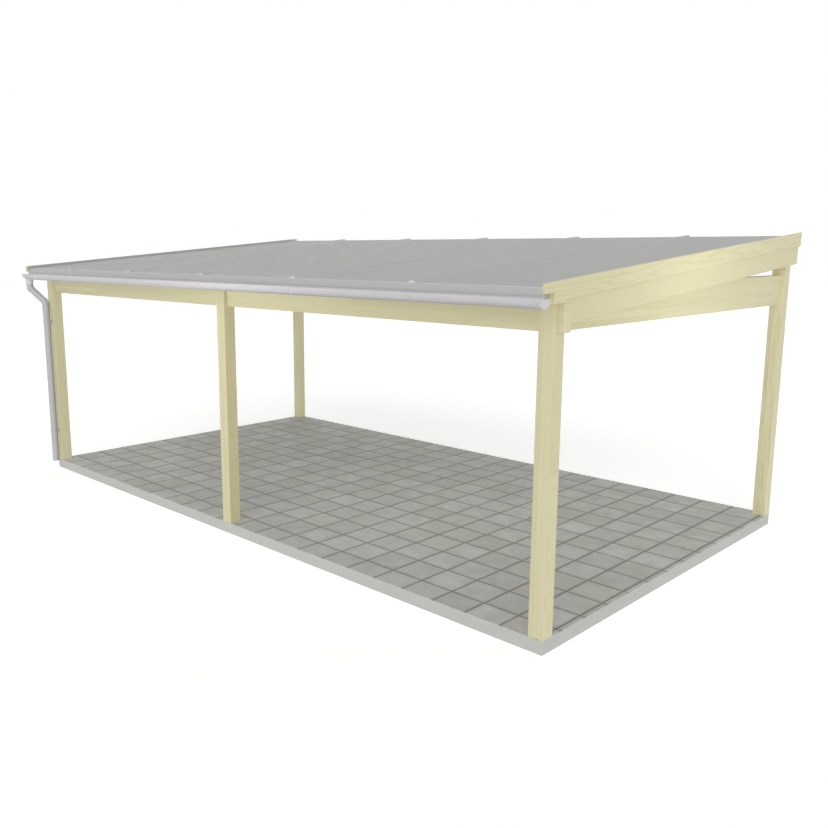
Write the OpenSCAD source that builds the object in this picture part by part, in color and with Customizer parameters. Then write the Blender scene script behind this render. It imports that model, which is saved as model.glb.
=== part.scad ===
// Open garden room frame: a glued-timber post and beam frame on a paved
// concrete plinth, under a mono-pitch roof of multi-wall sheets with a
// half-round gutter along its low front edge.
// The origin is at ground level under the middle of the plinth. The front
// faces -Y. The modules draw from the left front corner of the frame, at
// floor level, and on_floor() moves that corner to its place.

/* [Frame] */
// Width over the outer faces of the corner posts
frame_w = 6940; // [5000:10:9000]
// Depth over the outer faces of the corner posts
frame_d = 3830; // [3000:10:4500]
// Clear height from the floor to the underside of the beams
clear_h = 2000; // [1900:10:2100]
// Outer face of a corner post to the middle of the nearest inner rafter
end_bay = 995; // [700:5:1200]

/* [Plinth] */
// Thickness of the slab that the posts stand on
slab_t = 100; // [80:5:200]

/* [Timber] */
// Side of a square post
post_s = 115; // [90:1:140]
// Thickness of the tongue that a post sends up past the beam
tongue_t = 37; // [25:1:45]
// Height of the front beam
front_beam_h = 180; // [150:5:200]
// Height of the rear beam
rear_beam_h = 225; // [180:5:240]
// Height of the tie beams between the front and rear posts
tie_h = 265; // [200:5:280]
// Gap between the tie beams and the roof sheets, over the front of the posts
tie_gap = 13; // [8:1:30]
// Thickness of a rafter
rafter_w = 45; // [36:1:60]
// Height of a rafter, upright
rafter_h = 235; // [200:5:250]
// Height of rafter left over the rear beam, at the beam's inner face
rafter_left = 53; // [40:1:90]
// Run of the rafters past the front of the posts
rafter_eaves = 116; // [100:1:125]
// Thickness of the trim boards along the gables
trim_t = 20; // [15:1:28]
// Height of the trim boards
trim_h = 122; // [100:1:150]
// Height of the trim boards above the roof sheets
trim_up = 29; // [25:1:40]
// Run of the trim boards past the front of the posts
trim_eaves = 210; // [200:1:240]
// Run of the trim boards and end rafters past the rear of the posts
rear_eaves = 25; // [10:1:60]

/* [Roof] */
// Pitch of the roof in degrees
roof_pitch = 4.82; // [4.5:0.01:5.1]
// Thickness of a roof sheet
sheet_t = 16; // [10:1:25]
// Run of the sheets past the front of the posts
sheet_eaves = 190; // [170:1:200]
// Distance from the rear edge of the sheets to the rear of the posts
sheet_setback = 10; // [0:1:30]
// Width of a cover profile between two sheets
cover_w = 60; // [50:1:70]
// Height of a cover profile above the sheets
cover_h = 16; // [12:1:20]
// Thickness of the aluminium edge profiles
profile_t = 2; // [1.5:0.5:3]

/* [Gutter] */
// Outer radius of the half-round gutter
gutter_r = 60; // [50:1:62]
// Thickness of the gutter
gutter_t = 2; // [1.5:0.5:3]
// Middle of the gutter below the front edge of the sheets' underside
gutter_drop = 49; // [40:1:60]
// Run of the gutter past the left posts, where its outlet is
gutter_over = 100; // [95:1:130]
// Gap between the front profile and the level of the gutter's lips
mouth_gap = 11.5; // [10:0.5:20]
// Outer radius of the downpipe
pipe_r = 38; // [30:1:40]
// Thickness of the downpipe
pipe_t = 2; // [1.5:0.5:3]
// Gap between the downpipe and the post behind it
pipe_standoff = 19; // [15:1:40]
// Radius of the pipe bends along the middle of the pipe
bend_r = 60; // [50:1:80]
// How much wider the bends are than the pipe, on the radius
bend_extra = 1.5; // [1.5:0.5:3]

/* [Hidden] */
bays = 6;
bay_pitch = (frame_w - 2 * end_bay) / (bays - 2);
beam_w = post_s - tongue_t;
play = 0.3;

slope = tan(roof_pitch);
sheet_top_h = clear_h + tie_h + tie_gap + sheet_t;
sheet_rear_y = frame_d - sheet_setback;
sheet_gap = 12;
edge_gap = 3;
rear_beam_z = sheet_low(frame_d - post_s) - rafter_left - rear_beam_h;

strap_t = 4;
strap_w = 16;
gutter_y = -rafter_eaves - strap_t - gutter_r;
gutter_h = sheet_low(-sheet_eaves) - gutter_drop;

// The gutter ends on the right in line with the outside of the end rafter
end_plate_t = 3;
gutter_left = -gutter_over;
gutter_right = frame_w + rafter_w - end_plate_t;

// How far the roof's edge profiles reach below the sheets
front_reach = gutter_drop - mouth_gap;
rear_reach = profile_t;

// The outlet is a socket under the left end of the gutter
socket_t = 2.5;
socket_h = 50;
socket_r = pipe_r + play + socket_t;
outlet_inset = 2;
outlet_x = gutter_left + socket_r + outlet_inset;

// The neck leads from the outlet to the pipe in front of the left post
pipe_x = post_s / 2;
pipe_y = -pipe_standoff - pipe_r;
neck_run = norm([pipe_x - outlet_x, pipe_y - gutter_y]);
neck_turn = atan2(pipe_y - gutter_y, pipe_x - outlet_x);
neck_gap = 5;
neck_drop = 90;
neck_foot = 20;
neck_top_z = gutter_h - gutter_r - neck_gap;
neck_z1 = neck_top_z - neck_drop;
neck_z2 = neck_z1 - neck_run;
bend_tan = bend_r * tan(45 / 2);
pipe_top_z = neck_z2 - bend_tan - neck_foot;
clip_low_z = 350;
clip_drop = 195;

timber = "#D8D1A6";
sheet_grey = "#A9A9A8";
aluminium = "#C9CACC";
plastic_grey = "#BEBDC6";
concrete = "#C2C2C1";

// Middle of rafter i, counted from 1 at the left
function rafter_x(i) = frame_w / 2 + (i - bays / 2) * bay_pitch;

// Height of the top and of the underside of the sheets at depth y
function sheet_top(y) = sheet_top_h + slope * y;
function sheet_low(y) = sheet_top(y) - sheet_t;

// Left and right edge of sheet i
function sheet_left(i) = i == 1 ? edge_gap - rafter_w : rafter_x(i - 1) + sheet_gap / 2;
function sheet_right(i) = frame_w - sheet_left(bays + 1 - i);

module on_floor() translate([-frame_w / 2, -frame_d / 2, slab_t]) children();

// The same thing on the right-hand side
module on_right() translate([frame_w, 0, 0]) mirror([1, 0, 0]) children();

// A prism from x0 to x1 whose section is drawn in depth and height
module along_x(x0, x1) translate([x0, 0, 0]) rotate([90, 0, 90])
    linear_extrude(x1 - x0) children();

// A strip that follows the roof, between two heights above the sheets
module roof_strip(y0, y1, low, high) polygon([
    [y0, sheet_top(y0) + low], [y1, sheet_top(y1) + low],
    [y1, sheet_top(y1) + high], [y0, sheet_top(y0) + high]]);

module base_slab() color(concrete)
    translate([-frame_w / 2, -frame_d / 2, 0])
        cube([frame_w, frame_d, slab_t]);

// A post with a shoulder that carries the beam behind its tongue
module post(shoulder_z, beam_h) color(timber) {
    cube([post_s, post_s, shoulder_z]);
    translate([0, 0, shoulder_z]) cube([post_s, tongue_t, beam_h]);
}

module front_post(x) on_floor() translate([x, 0, 0]) post(clear_h, front_beam_h);

module rear_post(x) on_floor() translate([x, frame_d, 0]) mirror([0, 1, 0])
    post(rear_beam_z, rear_beam_h);

module post_front_left() front_post(0);
module post_front_middle() front_post((frame_w - post_s) / 2);
module post_front_right() front_post(frame_w - post_s);
module post_rear_left() rear_post(0);
module post_rear_right() rear_post(frame_w - post_s);

// The front beam runs past the corner posts to carry the end rafters
module front_beam() color(timber) on_floor()
    translate([-rafter_w, tongue_t, clear_h])
        cube([frame_w + 2 * rafter_w, beam_w, front_beam_h]);

module rear_beam() color(timber) on_floor()
    translate([0, frame_d - post_s, rear_beam_z])
        cube([frame_w, beam_w, rear_beam_h]);

module tie() color(timber) translate([tongue_t, post_s, clear_h])
    cube([beam_w, frame_d - 2 * post_s, tie_h]);

module tie_beam_left() on_floor() tie();
module tie_beam_right() on_floor() on_right() tie();

// Side view of a rafter, notched over the front beam
module rafter_side(rear_y) difference() {
    roof_strip(-rafter_eaves, rear_y, -sheet_t - rafter_h, -sheet_t);
    translate([-rafter_eaves - 1, 0])
        square([rafter_eaves + post_s + 1, clear_h + front_beam_h]);
}

// An inner rafter is also notched over the rear beam
module rafter(i) color(timber) on_floor()
    along_x(rafter_x(i) - rafter_w / 2, rafter_x(i) + rafter_w / 2)
        difference() {
            rafter_side(sheet_rear_y);
            translate([frame_d - post_s, 0])
                square([post_s + 1, rear_beam_z + rear_beam_h]);
        }

// An end rafter runs on outside the rear post
module end_rafter() color(timber)
    along_x(-rafter_w, 0) rafter_side(frame_d + rear_eaves);

module rafter_1() rafter(1);
module rafter_2() rafter(2);
module rafter_3() rafter(3);
module rafter_4() rafter(4);
module rafter_5() rafter(5);
module end_rafter_left() on_floor() end_rafter();
module end_rafter_right() on_floor() on_right() end_rafter();

// A trim board, cut away at the front where the gutter passes
module gable_trim() color(timber) {
    gap_behind = 6;
    gap_above = 32;
    along_x(-rafter_w - trim_t, -rafter_w) difference() {
        roof_strip(-trim_eaves, frame_d + rear_eaves, trim_up - trim_h, trim_up);
        translate([-trim_eaves - 1, 0])
            square([trim_eaves - rafter_eaves + gap_behind + 1, gutter_h + gap_above]);
    }
}

module gable_trim_left() on_floor() gable_trim();
module gable_trim_right() on_floor() on_right() gable_trim();

module roof_sheet(i) color(sheet_grey) on_floor()
    along_x(sheet_left(i), sheet_right(i))
        roof_strip(-sheet_eaves, sheet_rear_y, -sheet_t, 0);

module roof_sheet_1() roof_sheet(1);
module roof_sheet_2() roof_sheet(2);
module roof_sheet_3() roof_sheet(3);
module roof_sheet_4() roof_sheet(4);
module roof_sheet_5() roof_sheet(5);
module roof_sheet_6() roof_sheet(6);

// A bar between two sheets: a web on the rafter, a flange on the sheets and
// two ridges, with an end plate on top of the edge profile at both ends
module cover_profile(i) color(aluminium) on_floor() {
    x = rafter_x(i);
    ridge_x = 11;
    ridge_w = 7;
    web_w = 5;
    flange_t = 5;
    along_x(x - web_w / 2, x + web_w / 2)
        roof_strip(-sheet_eaves, sheet_rear_y, -sheet_t, 0);
    along_x(x - cover_w / 2, x + cover_w / 2)
        roof_strip(-sheet_eaves, sheet_rear_y, 0, flange_t);
    for (side = [-1, 1])
        along_x(x + side * ridge_x - ridge_w / 2, x + side * ridge_x + ridge_w / 2)
            roof_strip(-sheet_eaves, sheet_rear_y, flange_t, cover_h);
    for (y = [-sheet_eaves - profile_t, sheet_rear_y])
        along_x(x - cover_w / 2, x + cover_w / 2)
            roof_strip(y, y + profile_t, profile_t + play, cover_h);
}

module cover_profile_1() cover_profile(1);
module cover_profile_2() cover_profile(2);
module cover_profile_3() cover_profile(3);
module cover_profile_4() cover_profile(4);
module cover_profile_5() cover_profile(5);

// An angle that lies on the outer edge of the end sheet, against the trim
module side_profile() color(aluminium) {
    flange_w = 40;
    below_trim = 4;
    along_x(-rafter_w, flange_w - rafter_w)
        roof_strip(-sheet_eaves, sheet_rear_y, 0, profile_t);
    along_x(-rafter_w, profile_t - rafter_w)
        roof_strip(-sheet_eaves, sheet_rear_y, profile_t, trim_up - below_trim);
}

module side_profile_left() on_floor() side_profile();
module side_profile_right() on_floor() on_right() side_profile();

// A channel along an edge of the sheets, which lies at depth y. Its back runs
// through on the side given by out, and reaches below the sheets. Two lips
// grip each sheet between the cover profiles. At the gables the back runs on
// past the frame where no end rafter is in its way.
module edge_channel(y, out, reach, run_on) color(aluminium) {
    grip = 25;
    back = y + out * profile_t;
    lip = back - out * grip;
    along_x(play - run_on, frame_w - play + run_on)
        roof_strip(min(y, back), max(y, back), -sheet_t - reach, profile_t);
    for (i = [1:bays]) {
        x0 = i == 1 ? play : rafter_x(i - 1) + cover_w / 2 + play;
        x1 = i == bays ? frame_w - play : rafter_x(i) - cover_w / 2 - play;
        along_x(x0, x1) {
            roof_strip(min(lip, back), max(lip, back), 0, profile_t);
            roof_strip(min(lip, back), max(lip, back), -sheet_t - profile_t, -sheet_t);
        }
    }
}

// The back of the front channel is an apron that leads the rain to the gutter
module front_edge_profile() on_floor() edge_channel(-sheet_eaves, -1, front_reach, rafter_w);
module rear_edge_profile() on_floor() edge_channel(sheet_rear_y, 1, rear_reach, 0);

// A disc round the gutter's middle, drawn in depth and height
module gutter_disc(r) translate([gutter_y, gutter_h]) circle(r, $fn = 96);

// The lower half of what is drawn round the gutter's middle
module lower_half() difference() {
    children();
    translate([gutter_y - 2 * gutter_r, gutter_h]) square(4 * gutter_r);
}

module half_ring(r_out, r_in) lower_half() difference() {
    gutter_disc(r_out);
    gutter_disc(r_in);
}

// The gutter has a bead along its front lip and a hole over the outlet
module gutter() color(plastic_grey) on_floor() difference() {
    bead_r = 6;
    hole_r = pipe_r - pipe_t - 2;
    along_x(gutter_left, gutter_right) {
        half_ring(gutter_r, gutter_r - gutter_t);
        translate([gutter_y - gutter_r + bead_r, gutter_h]) circle(bead_r, $fn = 32);
    }
    translate([outlet_x, gutter_y, neck_top_z]) cylinder(r = hole_r, h = gutter_r, $fn = 96);
}

// A half-round plate on an end of the gutter, from x on to the right
module gutter_end(x) color(plastic_grey) on_floor() {
    rim = 2;
    along_x(x, x + end_plate_t) lower_half() gutter_disc(gutter_r + rim);
}

module gutter_end_left() gutter_end(gutter_left - end_plate_t);
module gutter_end_right() gutter_end(gutter_right);

// A strap under the gutter, with a leaf on the end of the rafter
module gutter_bracket(x) {
    leaf_low = gutter_h - 25;
    leaf_high = sheet_low(-rafter_eaves) - 10;
    along_x(x - strap_w / 2, x + strap_w / 2) {
        half_ring(gutter_r + strap_t, gutter_r);
        translate([-rafter_eaves - strap_t, leaf_low])
            square([strap_t, leaf_high - leaf_low]);
    }
}

// One bracket on the end of each rafter. The first one clears the outlet.
module gutter_brackets() color(plastic_grey) on_floor() {
    beside_outlet_x = outlet_x + socket_r + play + strap_w / 2;
    gutter_bracket(max(-strap_w / 2, beside_outlet_x));
    for (i = [1:bays - 1]) gutter_bracket(rafter_x(i));
    gutter_bracket(frame_w + strap_w / 2);
}

// A saddle round the end of the gutter, with a socket under it
module gutter_outlet() color(plastic_grey) on_floor() difference() {
    foot_z = neck_top_z - socket_h;
    saddle_right = outlet_x + socket_r;
    union() {
        along_x(gutter_left, saddle_right) lower_half() gutter_disc(gutter_r + socket_t);
        translate([outlet_x, gutter_y, foot_z])
            cylinder(r = socket_r, h = gutter_h - foot_z, $fn = 96);
    }
    along_x(gutter_left - 1, saddle_right + 1) gutter_disc(gutter_r);
    translate([outlet_x, gutter_y, foot_z - 1])
        cylinder(r = socket_r - socket_t, h = gutter_h - foot_z + 2, $fn = 96);
}

// An eighth of a solid ring
module bend(r) {
    reach = bend_r + 2 * pipe_r;
    intersection() {
        rotate_extrude($fn = 96) translate([bend_r, 0]) circle(r, $fn = 96);
        translate([0, 0, -reach]) linear_extrude(2 * reach)
            polygon([[0, 0], [reach, 0], [reach, reach]]);
    }
}

// The two bends of the neck, drawn in one upright plane
module neck_bends(r) {
    translate([bend_r, 0, neck_z1 + bend_tan]) rotate([90, 0, 0])
        rotate([0, 0, 180]) bend(r);
    translate([neck_run - bend_r, 0, neck_z2 - bend_tan]) rotate([90, 0, 0]) bend(r);
}

// The three straight lengths of the neck, which run a little into the bends
module neck_lengths(r, top_z, foot_z) {
    lap = 12;
    side = bend_tan * cos(45);
    upper_foot_z = neck_z1 + bend_tan - lap;
    translate([0, 0, upper_foot_z]) cylinder(r = r, h = top_z - upper_foot_z, $fn = 96);
    translate([side, 0, neck_z1 - side]) rotate([0, 135, 0]) translate([0, 0, -lap])
        cylinder(r = r, h = neck_run / cos(45) - 2 * bend_tan + 2 * lap, $fn = 96);
    translate([neck_run, 0, foot_z])
        cylinder(r = r, h = neck_z2 - bend_tan + lap - foot_z, $fn = 96);
}

// The swan neck from the outlet to the pipe: its bends are slightly wider
module downpipe_neck() color(plastic_grey) on_floor()
    translate([outlet_x, gutter_y, 0]) rotate([0, 0, neck_turn]) difference() {
        union() {
            neck_bends(pipe_r + bend_extra);
            neck_lengths(pipe_r, neck_top_z, pipe_top_z);
        }
        neck_bends(pipe_r - pipe_t);
        neck_lengths(pipe_r - pipe_t - bend_extra, neck_top_z + 1, pipe_top_z - 1);
    }

// The pipe ends in a socket round the foot of the neck
module downpipe() color(plastic_grey) on_floor() translate([pipe_x, pipe_y, 0]) {
    socket_z = pipe_top_z - socket_h;
    socket_end_z = pipe_top_z + neck_foot - 2;
    difference() {
        union() {
            cylinder(r = pipe_r, h = pipe_top_z, $fn = 96);
            translate([0, 0, socket_z])
                cylinder(r = socket_r, h = socket_end_z - socket_z, $fn = 96);
        }
        translate([0, 0, -1])
            cylinder(r = pipe_r - pipe_t, h = pipe_top_z + 2, $fn = 96);
        translate([0, 0, pipe_top_z])
            cylinder(r = socket_r - socket_t, h = neck_foot + 1, $fn = 96);
    }
}

// A ring round the pipe on a stem, with a plate that sits on the post
module downpipe_clip(z) {
    ring_t = 3;
    clip_h = 25;
    stem_w = 16;
    plate_w = 70;
    plate_t = 3;
    translate([pipe_x, pipe_y, z]) difference() {
        union() {
            cylinder(r = pipe_r + ring_t, h = clip_h, $fn = 96);
            translate([-stem_w / 2, 0, 0])
                cube([stem_w, pipe_r + pipe_standoff - plate_t, clip_h]);
        }
        translate([0, 0, -1]) cylinder(r = pipe_r, h = clip_h + 2, $fn = 96);
    }
    translate([pipe_x - plate_w / 2, -plate_t, z]) cube([plate_w, plate_t, clip_h]);
}

module downpipe_clips() color(plastic_grey) on_floor() {
    downpipe_clip(clip_low_z);
    downpipe_clip(pipe_top_z - clip_drop);
}

base_slab();
post_front_left();
post_front_middle();
post_front_right();
post_rear_left();
post_rear_right();
front_beam();
rear_beam();
tie_beam_left();
tie_beam_right();
rafter_1();
rafter_2();
rafter_3();
rafter_4();
rafter_5();
end_rafter_left();
end_rafter_right();
gable_trim_left();
gable_trim_right();
roof_sheet_1();
roof_sheet_2();
roof_sheet_3();
roof_sheet_4();
roof_sheet_5();
roof_sheet_6();
cover_profile_1();
cover_profile_2();
cover_profile_3();
cover_profile_4();
cover_profile_5();
side_profile_left();
side_profile_right();
front_edge_profile();
rear_edge_profile();
gutter();
gutter_end_left();
gutter_end_right();
gutter_brackets();
gutter_outlet();
downpipe_neck();
downpipe();
downpipe_clips();
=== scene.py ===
"""Looks of an open garden room frame: glued spruce posts and beams on a paved plinth,
a mono-pitch roof of opal multi-wall sheets between aluminium bars, and a PVC gutter.
Lengths are in metres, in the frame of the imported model."""
import math

import bmesh
import bpy
from mathutils import Matrix, Vector


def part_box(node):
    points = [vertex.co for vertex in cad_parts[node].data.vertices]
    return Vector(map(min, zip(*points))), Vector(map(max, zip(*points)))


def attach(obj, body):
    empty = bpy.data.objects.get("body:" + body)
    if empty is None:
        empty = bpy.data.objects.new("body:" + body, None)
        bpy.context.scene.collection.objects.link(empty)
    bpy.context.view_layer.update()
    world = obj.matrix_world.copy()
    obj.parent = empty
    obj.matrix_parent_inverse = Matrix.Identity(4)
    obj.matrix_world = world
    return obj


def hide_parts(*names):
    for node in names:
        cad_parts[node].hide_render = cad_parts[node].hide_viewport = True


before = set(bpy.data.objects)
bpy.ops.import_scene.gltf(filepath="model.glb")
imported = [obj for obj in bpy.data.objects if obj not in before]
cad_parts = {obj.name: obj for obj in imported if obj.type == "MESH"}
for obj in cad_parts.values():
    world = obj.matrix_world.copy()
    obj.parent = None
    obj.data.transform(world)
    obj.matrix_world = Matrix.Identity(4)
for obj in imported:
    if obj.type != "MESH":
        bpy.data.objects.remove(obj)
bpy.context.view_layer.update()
scene = bpy.context.scene

MM = 0.001
POSTS = ["post_front_left", "post_front_middle", "post_front_right",
         "post_rear_left", "post_rear_right"]
RAFTERS = [f"rafter_{i}" for i in range(1, 6)]
END_RAFTERS = ["end_rafter_left", "end_rafter_right"]
TIES = ["tie_beam_left", "tie_beam_right"]
TRIMS = ["gable_trim_left", "gable_trim_right"]
SHEETS = [f"roof_sheet_{i}" for i in range(1, 7)]
COVERS = [f"cover_profile_{i}" for i in range(1, 6)]
SIDE_PROFILES = ["side_profile_left", "side_profile_right"]
EDGE_PROFILES = ["front_edge_profile", "rear_edge_profile"]
GUTTER_PARTS = ["gutter", "gutter_end_left", "gutter_end_right", "gutter_brackets",
                "gutter_outlet"]
PIPE_PARTS = ["downpipe_neck", "downpipe", "downpipe_clips"]

# How tightly die lines lie along each axis on bars that run one way or the other
UP_THE_SLOPE = (420, 3, 420)
ALONG_THE_EAVES = (3, 420, 420)

# The roof's plane, from the box of a sheet
SHEET_T = 16 * MM
sheet_low, sheet_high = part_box("roof_sheet_3")
RISE = (sheet_high.z - sheet_low.z - SHEET_T) / (sheet_high.y - sheet_low.y)
PITCH = math.atan(RISE)

# The paved top of the plinth. The first joint of each run lies one cut slab in from the
# right and from the front edge.
FLOOR_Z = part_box("base_slab")[1].z
PAVER = 300 * MM
PAVER_JOINT = 8 * MM
JOINT_DEPTH = 3 * MM
FIRST_COLUMN = 44 * MM
FIRST_ROW = 225 * MM

# Fasteners in the bars
COVER_FLANGE_T = 5 * MM
SCREWS_IN_A_BAR = 10


def sheet_top(y):
    """Height of the top of the roof sheets at depth y."""
    return sheet_high.z - RISE * (sheet_high.y - y)


# ---------------------------------------------------------------- materials

def colour(code):
    """Linear RGBA of an sRGB hex value."""
    parts = [int(code[i:i + 2], 16) / 255 for i in (1, 3, 5)]
    linear = [p / 12.92 if p <= 0.04045 else ((p + 0.055) / 1.055) ** 2.4 for p in parts]
    return (*linear, 1)


def add(material, kind, settings=None, inputs=None):
    """Adds a node. Settings are its own values; inputs are constants or sockets to link."""
    tree = material.node_tree
    node = tree.nodes.new("ShaderNode" + kind)
    for key, value in (settings or {}).items():
        setattr(node, key, value)
    for key, value in (inputs or {}).items():
        if isinstance(value, bpy.types.NodeSocket):
            tree.links.new(value, node.inputs[key])
        else:
            node.inputs[key].default_value = value
    return node


def new_material(name):
    """An empty node material."""
    material = bpy.data.materials.new(name)
    material.use_nodes = True
    material.node_tree.nodes.clear()
    return material


def finish_material(material, shader):
    """Leads the shader to the material's output."""
    add(material, "OutputMaterial", inputs={"Surface": shader.outputs[0]})
    return material


def maths(material, operation, a, b=0.0, c=0.0):
    """The output of a Math node."""
    return add(material, "Math", {"operation": operation}, {0: a, 1: b, 2: c}).outputs[0]


def blend_colours(material, amount, a, b, mode="MIX"):
    """The colour output of a Mix node."""
    node = add(material, "Mix", {"data_type": "RGBA", "blend_type": mode},
               {0: amount, 6: a, 7: b})
    return node.outputs[2]


def ramp(material, value, stops):
    """The colour output of a Color Ramp with (place, colour) stops."""
    node = add(material, "ValToRGB", inputs={0: value})
    marks = node.color_ramp.elements
    while len(marks) < len(stops):
        marks.new(0.5)
    for mark, (place, tint) in zip(marks, stops):
        mark.position = place
        mark.color = tint
    return node.outputs[0]


def grey(value):
    """A grey stop of a ramp that serves as a mask."""
    return (value, value, value, 1)


def local_point(material, turn=(0, 0, 0), centre=(0, 0, 0)):
    """Object coordinates with the centre moved to the origin, then turned."""
    place = add(material, "TexCoord").outputs["Object"]
    moved = add(material, "VectorMath", {"operation": "SUBTRACT"}, {0: place, 1: centre})
    mapping = add(material, "Mapping", inputs={"Vector": moved.outputs[0], "Rotation": turn})
    return mapping.outputs[0]


def stretched(material, point, factors):
    """A point with each axis multiplied, for streaks along one axis."""
    node = add(material, "VectorMath", {"operation": "MULTIPLY"}, {0: point, 1: factors})
    return node.outputs[0]


def spruce(name, turn, centre, layer=0.0):
    """Planed spruce under a clear satin glaze: pale cream wood with faint yellow latewood
    lines, a fresh tone for each board and a few small knots. The grain runs along X after
    the turn. Where layer is its thickness, boards are glued in a stack along Z and
    finger-jointed end to end; without it the piece is one board."""
    board_length = 1.7
    half_finger = 4 * MM
    ring_w = 9 * MM
    half_glue = 0.6 * MM
    m = new_material(name)
    point = local_point(m, turn, centre)
    axes = add(m, "SeparateXYZ", inputs={0: point})
    x, y, z = axes.outputs[0], axes.outputs[1], axes.outputs[2]
    if layer:
        level = maths(m, "FLOOR", maths(m, "DIVIDE", z, layer))
        in_layer = maths(m, "FRACT", maths(m, "DIVIDE", z, layer))
        start = add(m, "TexWhiteNoise", {"noise_dimensions": "1D"}, {"W": level}).outputs[0]
        # fingers 12 mm long every 8 mm, and a fresh start in each layer
        fingers = maths(m, "PINGPONG", y, half_finger)
        along = maths(m, "MULTIPLY_ADD", fingers, 3.0, x)
        offset = maths(m, "MULTIPLY", start, 9.0)
        run = maths(m, "MULTIPLY_ADD", along, 1 / board_length, offset)
        board = maths(m, "FLOOR", run)
    else:
        # the pieces on either side of the frame are cut from two boards
        level = 0.0
        board = maths(m, "FLOOR", maths(m, "MULTIPLY_ADD", y, 0.2, 0.06))
    key = add(m, "CombineXYZ", inputs={0: level, 1: board})
    chance = add(m, "TexWhiteNoise", {"noise_dimensions": "3D"}, {"Vector": key.outputs[0]})
    parts = add(m, "SeparateColor", inputs={0: chance.outputs[1]})
    # growth rings 4 mm wide, drawn 9 mm wide so that they show, round a pith beside the board
    wander = add(m, "TexNoise", inputs={
        "Vector": stretched(m, point, (1.1, 7, 7)), "Scale": 1.0, "Detail": 3.0}).outputs[0]
    pith_y = maths(m, "MULTIPLY_ADD", parts.outputs[0], 160 * MM, maths(m, "ADD", y, -80 * MM))
    depth = maths(m, "MULTIPLY", in_layer, layer) if layer else maths(m, "ADD", z, 30 * MM)
    pith_z = maths(m, "MULTIPLY_ADD", parts.outputs[1], 60 * MM, maths(m, "ADD", depth, 25 * MM))
    pith = add(m, "CombineXYZ", inputs={0: pith_y, 1: pith_z})
    radius = add(m, "VectorMath", {"operation": "LENGTH"}, {0: pith.outputs[0]}).outputs[1]
    radius = maths(m, "MULTIPLY_ADD", wander, 50 * MM, radius)
    ring = maths(m, "FRACT", maths(m, "DIVIDE", radius, ring_w))
    latewood = ramp(m, ring, [(0.0, grey(0.25)), (0.16, grey(0)), (0.6, grey(0.1)),
                              (0.93, grey(1)), (1.0, grey(0.4))])
    # fibres under 0.1 mm wide, drawn as streaks about 2 mm wide
    fibres = add(m, "TexNoise", inputs={
        "Vector": stretched(m, point, (9, 420, 420)), "Scale": 1.0, "Detail": 2.0}).outputs[0]
    knots = add(m, "TexVoronoi", {"feature": "F1"}, {
        "Vector": stretched(m, point, (1.9, 0.55, 0.55)), "Scale": 1.0,
        "Randomness": 1.0}).outputs["Distance"]
    knot = ramp(m, knots, [(0.0, grey(1)), (0.012, grey(0.75)), (0.016, grey(1)),
                           (0.024, grey(0.12)), (0.05, grey(0))])
    wood = blend_colours(m, maths(m, "MULTIPLY", latewood, 0.5),
                         colour("#C6C19E"), colour("#B3A87D"))
    wood = blend_colours(m, maths(m, "MULTIPLY", fibres, 0.3), wood, colour("#BBB38F"))
    tone = maths(m, "MULTIPLY_ADD", parts.outputs[2], 0.09, 0.955)
    wood = blend_colours(m, 1.0, wood, add(m, "CombineColor", inputs={
        0: tone, 1: tone, 2: maths(m, "POWER", tone, 1.5)}).outputs[0], "MULTIPLY")
    wood = blend_colours(m, maths(m, "MULTIPLY", knot, 0.55), wood, colour("#937547"))
    height = maths(m, "MULTIPLY_ADD", latewood, 0.6, maths(m, "MULTIPLY", fibres, 0.5))
    if layer:
        # glue lines 0.2 mm thick, drawn 1.2 mm thick so that they show
        edge = maths(m, "PINGPONG", z, layer / 2)
        glue = maths(m, "LESS_THAN", edge, half_glue)
        wood = blend_colours(m, maths(m, "MULTIPLY", glue, 0.35), wood, colour("#9F9369"))
        height = maths(m, "SUBTRACT", height, glue)
    bump = add(m, "Bump", inputs={"Height": height, "Strength": 0.35, "Distance": 0.3 * MM})
    rough = maths(m, "MULTIPLY_ADD", fibres, 0.16, 0.42)
    return finish_material(m, add(m, "BsdfPrincipled", inputs={
        "Base Color": wood, "Roughness": rough, "IOR": 1.5, "Normal": bump.outputs[0]}))


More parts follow.
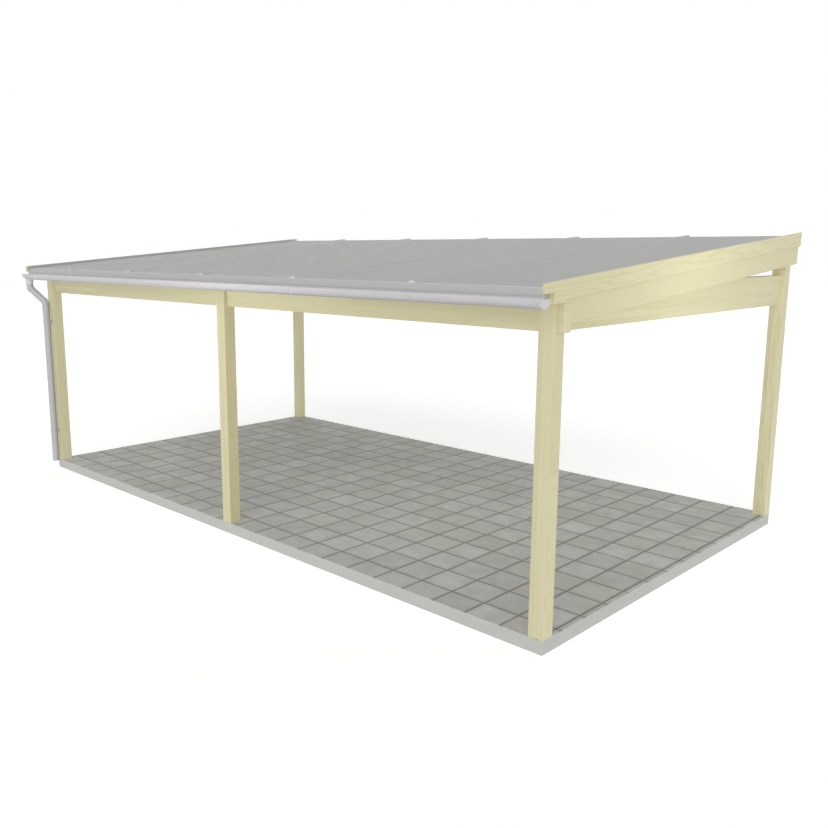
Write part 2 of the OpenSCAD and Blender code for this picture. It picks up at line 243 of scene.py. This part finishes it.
def opal_polycarbonate():
    """Multi-wall polycarbonate sheet, extruded in an opal grey: a satin plastic that lets soft
    light through, with its inner webs showing as faint lines up the slope. The webs stand
    16 mm apart and are drawn 32 mm apart so that they show."""
    half_cell = 16 * MM
    m = new_material("opal_polycarbonate")
    point = local_point(m)
    axes = add(m, "SeparateXYZ", inputs={0: point})
    web = maths(m, "DIVIDE", maths(m, "PINGPONG", axes.outputs[0], half_cell), half_cell)
    line = ramp(m, web, [(0.0, grey(1)), (0.14, grey(0.6)), (0.3, grey(0)), (1.0, grey(0.15))])
    haze = add(m, "TexNoise", inputs={
        "Vector": stretched(m, point, (2.2, 0.7, 1)), "Scale": 1.0, "Detail": 4.0}).outputs[0]
    dust = add(m, "TexNoise", inputs={
        "Vector": stretched(m, point, (90, 14, 90)), "Scale": 1.0, "Detail": 5.0}).outputs[0]
    base = blend_colours(m, maths(m, "MULTIPLY", line, 0.7), colour("#A5A5A3"), colour("#B8B8B7"))
    base = blend_colours(m, maths(m, "MULTIPLY", haze, 0.3), base, colour("#979894"))
    base = blend_colours(m, maths(m, "MULTIPLY", dust, 0.16), base, colour("#8A8983"))
    rough = maths(m, "MULTIPLY_ADD", dust, 0.2, 0.55)
    bump = add(m, "Bump", inputs={"Height": line, "Strength": 0.2, "Distance": 0.2 * MM})
    return finish_material(m, add(m, "BsdfPrincipled", inputs={
        "Base Color": base, "Roughness": rough, "IOR": 1.58, "Specular IOR Level": 0.2,
        "Normal": bump.outputs[0], "Subsurface Weight": 1.0,
        "Subsurface Radius": (1, 1, 1), "Subsurface Scale": 20 * MM}))


def extruded_aluminium(name, tint, pale_tint, film_tint, spread=UP_THE_SLOPE):
    """Aluminium bar, extruded and natural anodised: a pale grey metal with a dull shine that
    is drawn out along the bar by fine die lines. The lines are under 0.2 mm apart and are
    drawn about 2 mm apart. Spread is how tightly the lines lie along each axis."""
    m = new_material(name)
    point = local_point(m)
    lines = add(m, "TexNoise", inputs={
        "Vector": stretched(m, point, spread), "Scale": 1.0, "Detail": 3.0}).outputs[0]
    marks = add(m, "TexNoise", inputs={
        "Vector": stretched(m, point, (6, 2, 6)), "Scale": 1.0, "Detail": 4.0}).outputs[0]
    base = blend_colours(m, lines, colour(tint), colour(pale_tint))
    base = blend_colours(m, maths(m, "MULTIPLY", marks, 0.25), base, colour(film_tint))
    rough = maths(m, "MULTIPLY_ADD", lines, 0.2, 0.32)
    bump = add(m, "Bump", inputs={"Height": lines, "Strength": 0.3, "Distance": 0.1 * MM})
    return finish_material(m, add(m, "BsdfPrincipled", inputs={
        "Base Color": base, "Metallic": 1.0, "Roughness": rough, "Normal": bump.outputs[0]}))


def extruded_pvc(name, tint, shade_tint):
    """Gutter and pipe of rigid PVC, extruded in a light grey: an even plastic with a soft
    shine, a slightly wavy skin and a thin film of dust."""
    m = new_material(name)
    point = local_point(m)
    waves = add(m, "TexNoise", inputs={
        "Vector": stretched(m, point, (5, 30, 30)), "Scale": 1.0, "Detail": 2.0}).outputs[0]
    dust = add(m, "TexNoise", inputs={
        "Vector": stretched(m, point, (26, 40, 9)), "Scale": 1.0, "Detail": 6.0}).outputs[0]
    base = blend_colours(m, maths(m, "MULTIPLY", waves, 0.4), colour(tint), colour(shade_tint))
    base = blend_colours(m, maths(m, "MULTIPLY", dust, 0.22), base, colour("#A4A09B"))
    rough = maths(m, "MULTIPLY_ADD", dust, 0.25, 0.28)
    bump = add(m, "Bump", inputs={"Height": waves, "Strength": 0.2, "Distance": 0.4 * MM})
    return finish_material(m, add(m, "BsdfPrincipled", inputs={
        "Base Color": base, "Roughness": rough, "IOR": 1.53, "Normal": bump.outputs[0]}))


def cast_concrete():
    """Concrete cast against smooth boards: a light grey, chalky face with cloudy patches,
    fine sand grain and small air holes a few millimetres wide, darkened inside as painted
    shade."""
    m = new_material("cast_concrete")
    point = local_point(m)
    clouds = add(m, "TexNoise", inputs={"Vector": point, "Scale": 2.6, "Detail": 5.0}).outputs[0]
    sand = add(m, "TexNoise", inputs={"Vector": point, "Scale": 160.0, "Detail": 3.0}).outputs[0]
    holes = add(m, "TexVoronoi", {"feature": "F1"}, {
        "Vector": point, "Scale": 28.0, "Randomness": 1.0}).outputs["Distance"]
    hole = ramp(m, holes, [(0.0, grey(1)), (0.06, grey(0.8)), (0.1, grey(0)), (1.0, grey(0))])
    base = blend_colours(m, clouds, colour("#BABAB6"), colour("#B0B0AD"))
    base = blend_colours(m, maths(m, "MULTIPLY", sand, 0.3), base, colour("#A2A29F"))
    # painted shade in the air holes
    base = blend_colours(m, maths(m, "MULTIPLY", hole, 0.6), base, colour("#7F817E"))
    height = maths(m, "SUBTRACT", maths(m, "MULTIPLY", sand, 0.25), hole)
    bump = add(m, "Bump", inputs={"Height": height, "Strength": 0.5, "Distance": 1 * MM})
    return finish_material(m, add(m, "BsdfPrincipled", inputs={
        "Base Color": base, "Roughness": 0.88, "IOR": 1.5, "Normal": bump.outputs[0]}))


def pressed_paver(corner):
    """Concrete paving slab, hydraulically pressed: a matt warm grey with a sandy face. Each
    slab has a slightly different tone, cloudy patches where it dried, dirt and painted shade
    darkening it towards its edges, small pits darkened as painted shade, and grit 2 to 4 mm
    across, drawn about 6 mm across so that it shows. Corner is a crossing of the joints."""
    dirt_and_shade_w = 40 * MM
    m = new_material("pressed_paver")
    point = local_point(m, centre=corner)
    cell = add(m, "VectorMath", {"operation": "FLOOR"}, {
        0: stretched(m, point, (1 / PAVER, 1 / PAVER, 0))})
    chance = add(m, "TexWhiteNoise", {"noise_dimensions": "3D"}, {"Vector": cell.outputs[0]})
    parts = add(m, "SeparateColor", inputs={0: chance.outputs[1]})
    shifted = add(m, "VectorMath", {"operation": "MULTIPLY_ADD"}, {
        0: chance.outputs[1], 1: (40, 40, 40), 2: point})
    clouds = add(m, "TexNoise", inputs={
        "Vector": shifted.outputs[0], "Scale": 7.0, "Detail": 4.0, "Roughness": 0.6}).outputs[0]
    grit = add(m, "TexNoise", inputs={
        "Vector": point, "Scale": 170.0, "Detail": 2.0, "Roughness": 0.7}).outputs[0]
    # small pits, darker inside as painted shade
    pits = add(m, "TexVoronoi", {"feature": "F1"}, {
        "Vector": point, "Scale": 60.0, "Randomness": 1.0}).outputs["Distance"]
    pit = ramp(m, pits, [(0.0, grey(1)), (0.12, grey(0.6)), (0.2, grey(0)), (1.0, grey(0))])
    cloud = ramp(m, clouds, [(0.3, grey(0)), (0.7, grey(1))])
    base = blend_colours(m, cloud, colour("#ADAEA9"), colour("#C1C2BE"))
    base = blend_colours(m, maths(m, "MULTIPLY", grit, 0.35), base, colour("#9FA09B"))
    base = blend_colours(m, maths(m, "MULTIPLY", pit, 0.5), base, colour("#7F807B"))
    tone = maths(m, "MULTIPLY_ADD", parts.outputs[0], 0.14, 0.93)
    base = blend_colours(m, 1.0, base, add(m, "CombineColor", inputs={
        0: tone, 1: tone, 2: tone}).outputs[0], "MULTIPLY")
    ochre = ramp(m, parts.outputs[1], [(0.6, grey(0)), (1.0, grey(1))])
    stain = maths(m, "MULTIPLY", ochre, add(m, "TexNoise", inputs={
        "Vector": shifted.outputs[0], "Scale": 3.5, "Detail": 2.0}).outputs[0])
    base = blend_colours(m, maths(m, "MULTIPLY", stain, 0.5), base, colour("#A8A48F"))
    # dirt and painted shade: each slab darkens towards its joints, as the joint walls do in shade
    axes = add(m, "SeparateXYZ", inputs={0: point})
    to_line = [maths(m, "PINGPONG", axes.outputs[i], PAVER / 2) for i in (0, 1)]
    to_joint = maths(m, "MULTIPLY_ADD", clouds, 4 * MM, maths(m, "MINIMUM", *to_line))
    dirt_and_joint_shade = ramp(m, maths(m, "DIVIDE", to_joint, dirt_and_shade_w),
                [(0.15, grey(1)), (0.3, grey(0.35)), (0.8, grey(0))])
    base = blend_colours(m, maths(m, "MULTIPLY", dirt_and_joint_shade, 0.7), base, colour("#6D6E69"))
    height = maths(m, "SUBTRACT", grit, pit)
    bump = add(m, "Bump", inputs={"Height": height, "Strength": 0.5, "Distance": 0.8 * MM})
    return finish_material(m, add(m, "BsdfPrincipled", inputs={
        "Base Color": base, "Roughness": 0.84, "IOR": 1.5, "Normal": bump.outputs[0]}))


def joint_sand():
    """Damp jointing sand between the slabs: a dark, rough line with grains of 1 to 2 mm."""
    m = new_material("joint_sand")
    grains = add(m, "TexNoise", inputs={
        "Vector": local_point(m), "Scale": 420.0, "Detail": 2.0}).outputs[0]
    base = blend_colours(m, grains, colour("#515550"), colour("#71726C"))
    bump = add(m, "Bump", inputs={"Height": grains, "Strength": 0.6, "Distance": 1 * MM})
    return finish_material(m, add(m, "BsdfPrincipled", inputs={
        "Base Color": base, "Roughness": 0.95, "IOR": 1.5, "Normal": bump.outputs[0]}))


def galvanised_steel():
    """Zinc-plated steel fasteners: a pale blue-grey metal with a patchy dull shine."""
    m = new_material("galvanised_steel")
    patches = add(m, "TexNoise", inputs={
        "Vector": local_point(m), "Scale": 180.0, "Detail": 3.0}).outputs[0]
    base = blend_colours(m, patches, colour("#B9BCBF"), colour("#CFD1D3"))
    rough = maths(m, "MULTIPLY_ADD", patches, 0.2, 0.3)
    bump = add(m, "Bump", inputs={"Height": patches, "Strength": 0.2, "Distance": 0.1 * MM})
    return finish_material(m, add(m, "BsdfPrincipled", inputs={
        "Base Color": base, "Metallic": 1.0, "Roughness": rough, "Normal": bump.outputs[0]}))


def moulded_rubber():
    """EPDM sealing lip, grey to suit the bars: matt rubber with a powdery bloom."""
    m = new_material("moulded_rubber")
    bloom = add(m, "TexNoise", inputs={
        "Vector": stretched(m, local_point(m), (150, 12, 150)), "Scale": 1.0}).outputs[0]
    base = blend_colours(m, bloom, colour("#B7B8B8"), colour("#C4C4C4"))
    rough = maths(m, "MULTIPLY_ADD", bloom, 0.2, 0.6)
    return finish_material(m, add(m, "BsdfPrincipled", inputs={
        "Base Color": base, "Roughness": rough, "IOR": 1.5}))


# ------------------------------------------------------------------- pieces

def new_piece(name, shape, material):
    """A piece of the object from a bmesh, with its place in the mesh itself."""
    mesh = bpy.data.meshes.new(name)
    shape.to_mesh(mesh)
    shape.free()
    mesh.materials.append(material)
    piece = bpy.data.objects.new(name, mesh)
    scene.collection.objects.link(piece)
    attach(piece, "root")
    return piece


def add_block(shape, low, high):
    """Adds an upright block between two corners and returns its vertices."""
    size = Vector(high) - Vector(low)
    middle = (Vector(high) + Vector(low)) / 2
    place = Matrix.Translation(middle) @ Matrix.Diagonal((*size, 1))
    return bmesh.ops.create_cube(shape, size=1, matrix=place)["verts"]


def eased_timber(node, material):
    """Stands for a timber node: the same solid with its edges planed round."""
    edge_r = 3 * MM
    shape = bmesh.new()
    shape.from_mesh(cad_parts[node].data)
    bmesh.ops.remove_doubles(shape, verts=shape.verts, dist=0.01 * MM)
    bmesh.ops.dissolve_limit(shape, angle_limit=math.radians(0.5), verts=shape.verts,
                             edges=shape.edges)
    bmesh.ops.bevel(shape, geom=shape.edges[:], offset=edge_r, offset_type="OFFSET",
                    segments=2, profile=0.5, affect="EDGES", clamp_overlap=True, material=-1)
    piece = new_piece(node + "_eased", shape, material)
    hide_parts(node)


def plinth(material, sand):
    """The concrete body under the paving, with its upright corners rounded and a bed of sand
    on top, which shows in the joints."""
    corner_r = 4 * MM
    low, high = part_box("base_slab")
    shape = bmesh.new()
    add_block(shape, low, (high.x, high.y, high.z - JOINT_DEPTH))
    upright = [e for e in shape.edges if abs(e.verts[0].co.z - e.verts[1].co.z) > JOINT_DEPTH]
    bmesh.ops.bevel(shape, geom=upright, offset=corner_r, segments=2, profile=0.5,
                    affect="EDGES", material=-1)
    top = max(shape.faces, key=lambda f: f.calc_center_median().z)
    top.material_index = 1
    body = new_piece("plinth_body", shape, material)
    body.data.materials.append(sand)
    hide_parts("base_slab")


def paving(material):
    """Square slabs over the plinth, cut at its edges, with open joints."""
    low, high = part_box("base_slab")
    arris = 1.5 * MM
    half = PAVER_JOINT / 2
    first_x = high.x - FIRST_COLUMN
    first_y = low.y + FIRST_ROW
    columns = math.ceil((first_x - low.x) / PAVER)
    rows = math.ceil((high.y - PAVER_JOINT - first_y) / PAVER)
    lines_x = [low.x] + [first_x - PAVER * k for k in reversed(range(columns))] + [high.x]
    lines_y = [low.y] + [first_y + PAVER * k for k in range(rows)] + [high.y]
    shape = bmesh.new()
    for x0, x1 in zip(lines_x, lines_x[1:]):
        for y0, y1 in zip(lines_y, lines_y[1:]):
            left = x0 + (half if x0 > low.x else 0)
            right = x1 - (half if x1 < high.x else 0)
            front = y0 + (half if y0 > low.y else 0)
            back = y1 - (half if y1 < high.y else 0)
            add_block(shape, (left, front, FLOOR_Z - JOINT_DEPTH), (right, back, FLOOR_Z))
    upper = [e for e in shape.edges
             if min(v.co.z for v in e.verts) > FLOOR_Z - JOINT_DEPTH / 2]
    bmesh.ops.bevel(shape, geom=upper, offset=arris, segments=1, profile=0.5,
                    affect="EDGES", material=-1)
    new_piece("paving_slabs", shape, material)


def along_roof(shape, x0, x1, y0, y1, low, high):
    """Adds a bar that follows the roof between two heights above the sheets."""
    for v in add_block(shape, (x0, y0, 0), (x1, y1, high - low)):
        v.co.z += sheet_top(v.co.y) + low


def glazing_gaskets(material):
    """A sealing lip along both sides of each cover profile."""
    lip_w = 3 * MM
    lip_h = 2.5 * MM
    lip_r = 1 * MM
    shape = bmesh.new()
    for node in COVERS:
        low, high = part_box(node)
        for x0 in (low.x - lip_w, high.x):
            along_roof(shape, x0, x0 + lip_w, sheet_low.y, sheet_high.y, 0, lip_h)
    crests = [e for e in shape.edges if e.calc_length() > 100 * lip_w
              and e.verts[0].co.z > sheet_top(e.verts[0].co.y) + lip_h / 2]
    bmesh.ops.bevel(shape, geom=crests, offset=lip_r, segments=2, profile=0.5,
                    affect="EDGES", material=-1)
    new_piece("glazing_gaskets", shape, material)


def drip_lip(material):
    """The rubber lip under the front edge profile's apron, which leads the water into the
    gutter: a strip with a bead along its lower edge."""
    low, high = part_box("front_edge_profile")
    strip_t = 2.5 * MM
    strip_drop = 15 * MM
    bead_r = 2.6 * MM
    seat = 0.2 * MM
    shape = bmesh.new()
    add_block(shape, (low.x, low.y + seat, low.z - strip_drop),
              (high.x, low.y + strip_t, low.z + seat))
    bead = Matrix.Translation((0, low.y + strip_t / 2 + bead_r, low.z - strip_drop))
    lie = Matrix.Rotation(math.radians(90), 4, "Y")
    bmesh.ops.create_cone(shape, cap_ends=True, segments=12, radius1=bead_r, radius2=bead_r,
                          depth=high.x - low.x, matrix=bead @ lie)
    new_piece("drip_lip", shape, material)


def screw_head(shape, place, radius, height):
    """Adds a six-sided screw head on a flange, its axis along Z of the placing matrix."""
    flange_r = radius * 1.35
    flange_h = height * 0.25
    head_h = height - flange_h
    bmesh.ops.create_cone(shape, cap_ends=True, segments=12, radius1=flange_r,
                          radius2=flange_r, depth=flange_h,
                          matrix=place @ Matrix.Translation((0, 0, flange_h / 2)))
    bmesh.ops.create_cone(shape, cap_ends=True, segments=6, radius1=radius,
                          radius2=radius * 0.86, depth=head_h,
                          matrix=place @ Matrix.Translation((0, 0, flange_h + head_h / 2)))


def cover_screws(material):
    """Roofing screws in the groove of each cover profile, about every 400 mm."""
    head_r = 4 * MM
    head_h = 6 * MM
    tilt = Matrix.Rotation(PITCH, 4, "X")
    shape = bmesh.new()
    for node in COVERS:
        low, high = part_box(node)
        middle = (low.x + high.x) / 2
        for k in range(SCREWS_IN_A_BAR):
            y = sheet_low.y + (sheet_high.y - sheet_low.y) * (k + 0.5) / SCREWS_IN_A_BAR
            place = Matrix.Translation((middle, y, sheet_top(y) + COVER_FLANGE_T)) @ tilt
            screw_head(shape, place, head_r, head_h)
    new_piece("cover_screws", shape, material)


def beam_bolts(material):
    """Nuts and washers of the two bolts through the middle post's tongue, on the room side
    and on either side of the rafter that rests there."""
    # distance from the post's middle, and share of the beam's height
    bolts = ((-39 * MM, 0.64), (39 * MM, 0.3))
    # radius, depth and sides of the washer, the nut and the bolt's end
    stack = ((15 * MM, 3 * MM, 24), (9.5 * MM, 8 * MM, 6), (5 * MM, 6 * MM, 16))
    low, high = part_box("post_front_middle")
    beam_low, beam_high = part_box("front_beam")
    turn = Matrix.Rotation(math.radians(-90), 4, "X")
    shape = bmesh.new()
    for aside, share in bolts:
        x = (low.x + high.x) / 2 + aside
        z = beam_low.z + (beam_high.z - beam_low.z) * share
        place = Matrix.Translation((x, beam_high.y, z)) @ turn
        start = 0.0
        for radius, depth, sides in stack:
            seat = place @ Matrix.Translation((0, 0, start + depth / 2))
            bmesh.ops.create_cone(shape, cap_ends=True, segments=sides, radius1=radius,
                                  radius2=radius * 0.96, depth=depth, matrix=seat)
            start += depth
    new_piece("beam_bolts", shape, material)


# -------------------------------------------------------------------- stage

# The sky's strength on surfaces, and the floor's own glow where it is seen directly
SKY_LIGHT = 0.4
FLOOR_GLOW = 0.28
FLOOR_SIZE = 60


def seen_directly(material):
    """1 for rays of the camera, of reflections and through glass, and 0 for light."""
    rays = add(material, "LightPath")
    seen = maths(material, "MAXIMUM", rays.outputs["Is Camera Ray"], rays.outputs["Is Glossy Ray"])
    return maths(material, "MAXIMUM", seen, rays.outputs["Is Transmission Ray"])


def white_room():
    """A white floor that keeps the object's shadow, under an even white sky. Both are fully
    white where they are seen directly, and light the object less than that."""
    floor = new_material("white_floor")
    white = add(floor, "BsdfDiffuse", inputs={"Color": colour("#FDFDFD")})
    strength = maths(floor, "MULTIPLY", seen_directly(floor), FLOOR_GLOW)
    glow = add(floor, "Emission", inputs={"Color": grey(1), "Strength": strength})
    finish_material(floor, add(floor, "AddShader", inputs={
        0: white.outputs[0], 1: glow.outputs[0]}))
    shape = bmesh.new()
    bmesh.ops.create_grid(shape, x_segments=1, y_segments=1, size=FLOOR_SIZE)
    mesh = bpy.data.meshes.new("white_floor")
    shape.to_mesh(mesh)
    shape.free()
    mesh.materials.append(floor)
    ground = bpy.data.objects.new("white_floor", mesh)
    scene.collection.objects.link(ground)

    sky = bpy.data.worlds.new("white_sky")
    sky.use_nodes = True
    sky.node_tree.nodes.clear()
    strength = maths(sky, "MULTIPLY_ADD", seen_directly(sky), 1 - SKY_LIGHT, SKY_LIGHT)
    light = add(sky, "Background", inputs={"Color": grey(1), "Strength": strength})
    add(sky, "OutputWorld", inputs={"Surface": light.outputs[0]})
    scene.world = sky


def place_lamp(name, data, place, towards):
    """Puts a lamp in the room, which shines away from a direction."""
    lamp = bpy.data.objects.new(name, data)
    lamp.location = place
    lamp.rotation_euler = Vector(towards).to_track_quat("Z", "Y").to_euler()
    lamp.visible_camera = False
    scene.collection.objects.link(lamp)
    return lamp


def broad_light(name, strength, towards, fill=False):
    """A broad light from a direction. A fill casts no shadow and makes no shine."""
    data = bpy.data.lights.new(name, "SUN")
    data.energy = strength
    data.angle = math.radians(50)
    data.use_shadow = not fill
    place_lamp(name, data, (0, 0, 0), towards).visible_glossy = not fill


def soft_box(name, watts, size, place, towards):
    """A flat studio lamp that lifts the surfaces in front of it and makes no shine."""
    data = bpy.data.lights.new(name, "AREA")
    data.shape = "RECTANGLE"
    data.size, data.size_y = size
    data.energy = watts
    place_lamp(name, data, place, towards).visible_glossy = False


def camera():
    """An eye above the roof's low edge, looking across the frame from its right front."""
    data = bpy.data.cameras.new("camera")
    data.lens = 37.01
    data.sensor_width = 36
    data.shift_x = 0.0508
    data.shift_y = -0.0123
    eye = bpy.data.objects.new("camera", data)
    eye.location = (6.329, -6.331, 2.602)
    eye.rotation_euler = (math.radians(90 - 10.318), 0, math.radians(45.02))
    scene.collection.objects.link(eye)
    scene.camera = eye


# ------------------------------------------------------------------- making

scene.view_settings.view_transform = "Standard"
camera()
white_room()
broad_light("soft_sun", 0.48, (0.38, -0.72, 0.58))
broad_light("fill_from_the_front", 2.05, (0.68, -0.68, 0.29), fill=True)
broad_light("fill_from_behind", 1.15, (-0.66, 0.68, 0.30), fill=True)
soft_box("gable_lamp", 8.5, (0.7, 0.5), (4.9, -0.2, 2.55), (1, 0, 0))
soft_box("eaves_lamp", 6, (0.9, 0.4), (0.3, -3.4, 2.2), (0, -1, 0))
soft_box("room_lamp", 5, (1.6, 1.2), (1.2, -0.4, 2.05), (0, 0, 1))

# Turns that lead each kind of timber's grain along X, and the glued layers' thickness
LEVEL = (0, 0, 0)
UPRIGHT = (0, math.radians(90), 0)
ACROSS = (0, 0, math.radians(-90))
UP_THE_ROOF = (-PITCH, 0, math.radians(-90))
BEAM_LAYER = 45 * MM
POST_LAYER = 115 / 3 * MM
post_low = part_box("post_front_middle")[0]
front_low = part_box("front_beam")[0]
rear_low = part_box("rear_beam")[0]
tie_low, tie_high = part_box("tie_beam_right")
tie_layer = (tie_high.z - tie_low.z) / 6
timber = [
    (spruce("glued_spruce_post", UPRIGHT, post_low, POST_LAYER), POSTS),
    (spruce("glued_spruce_tie", ACROSS, tie_low, tie_layer), TIES),
    (spruce("spruce_rafter", UP_THE_ROOF, (0, 0, FLOOR_Z)), RAFTERS + END_RAFTERS),
    (spruce("spruce_trim_board", UP_THE_ROOF, (0, 1, FLOOR_Z + 2)), TRIMS),
    (spruce("glued_spruce_front_beam", LEVEL, front_low, BEAM_LAYER), ["front_beam"]),
    (spruce("glued_spruce_rear_beam", LEVEL, rear_low, BEAM_LAYER), ["rear_beam"]),
]
for material, names in timber:
    for name in names:
        eased_timber(name, material)

finishes = [
    (opal_polycarbonate(), SHEETS),
    # the cover bars take a lighter copy of the anodised aluminium as painted light; the metal is
    # the same as the profiles'
    (extruded_aluminium("aluminium_bar_painted_light", "#CBCBCB", "#D7D7D7", "#BFBFBF"), COVERS),
    (extruded_aluminium("anodised_aluminium_bar", "#B2B2B2", "#BEBEBE", "#A8A8A8"),
     SIDE_PROFILES),
    (extruded_aluminium("anodised_aluminium_channel", "#B2B2B2", "#BEBEBE", "#A8A8A8",
                        ALONG_THE_EAVES), EDGE_PROFILES),
    # gutter and pipe are one plastic: the gutter's copy is lighter as painted light, the pipe's
    # darker as painted shade
    (extruded_pvc("extruded_pvc_gutter_painted_light", "#C0BEC1", "#B7B5B9"), GUTTER_PARTS),
    (extruded_pvc("extruded_pvc_pipe_painted_shade", "#A7A6A8", "#9F9EA1"), PIPE_PARTS),
]
for material, names in finishes:
    for name in names:
        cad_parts[name].material_slots[0].material = material

slab_low, slab_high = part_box("base_slab")
plinth(cast_concrete(), joint_sand())
paving(pressed_paver((slab_high.x - FIRST_COLUMN, slab_low.y + FIRST_ROW, FLOOR_Z)))
rubber = moulded_rubber()
glazing_gaskets(rubber)
drip_lip(rubber)
steel = galvanised_steel()
cover_screws(steel)
beam_bolts(steel)
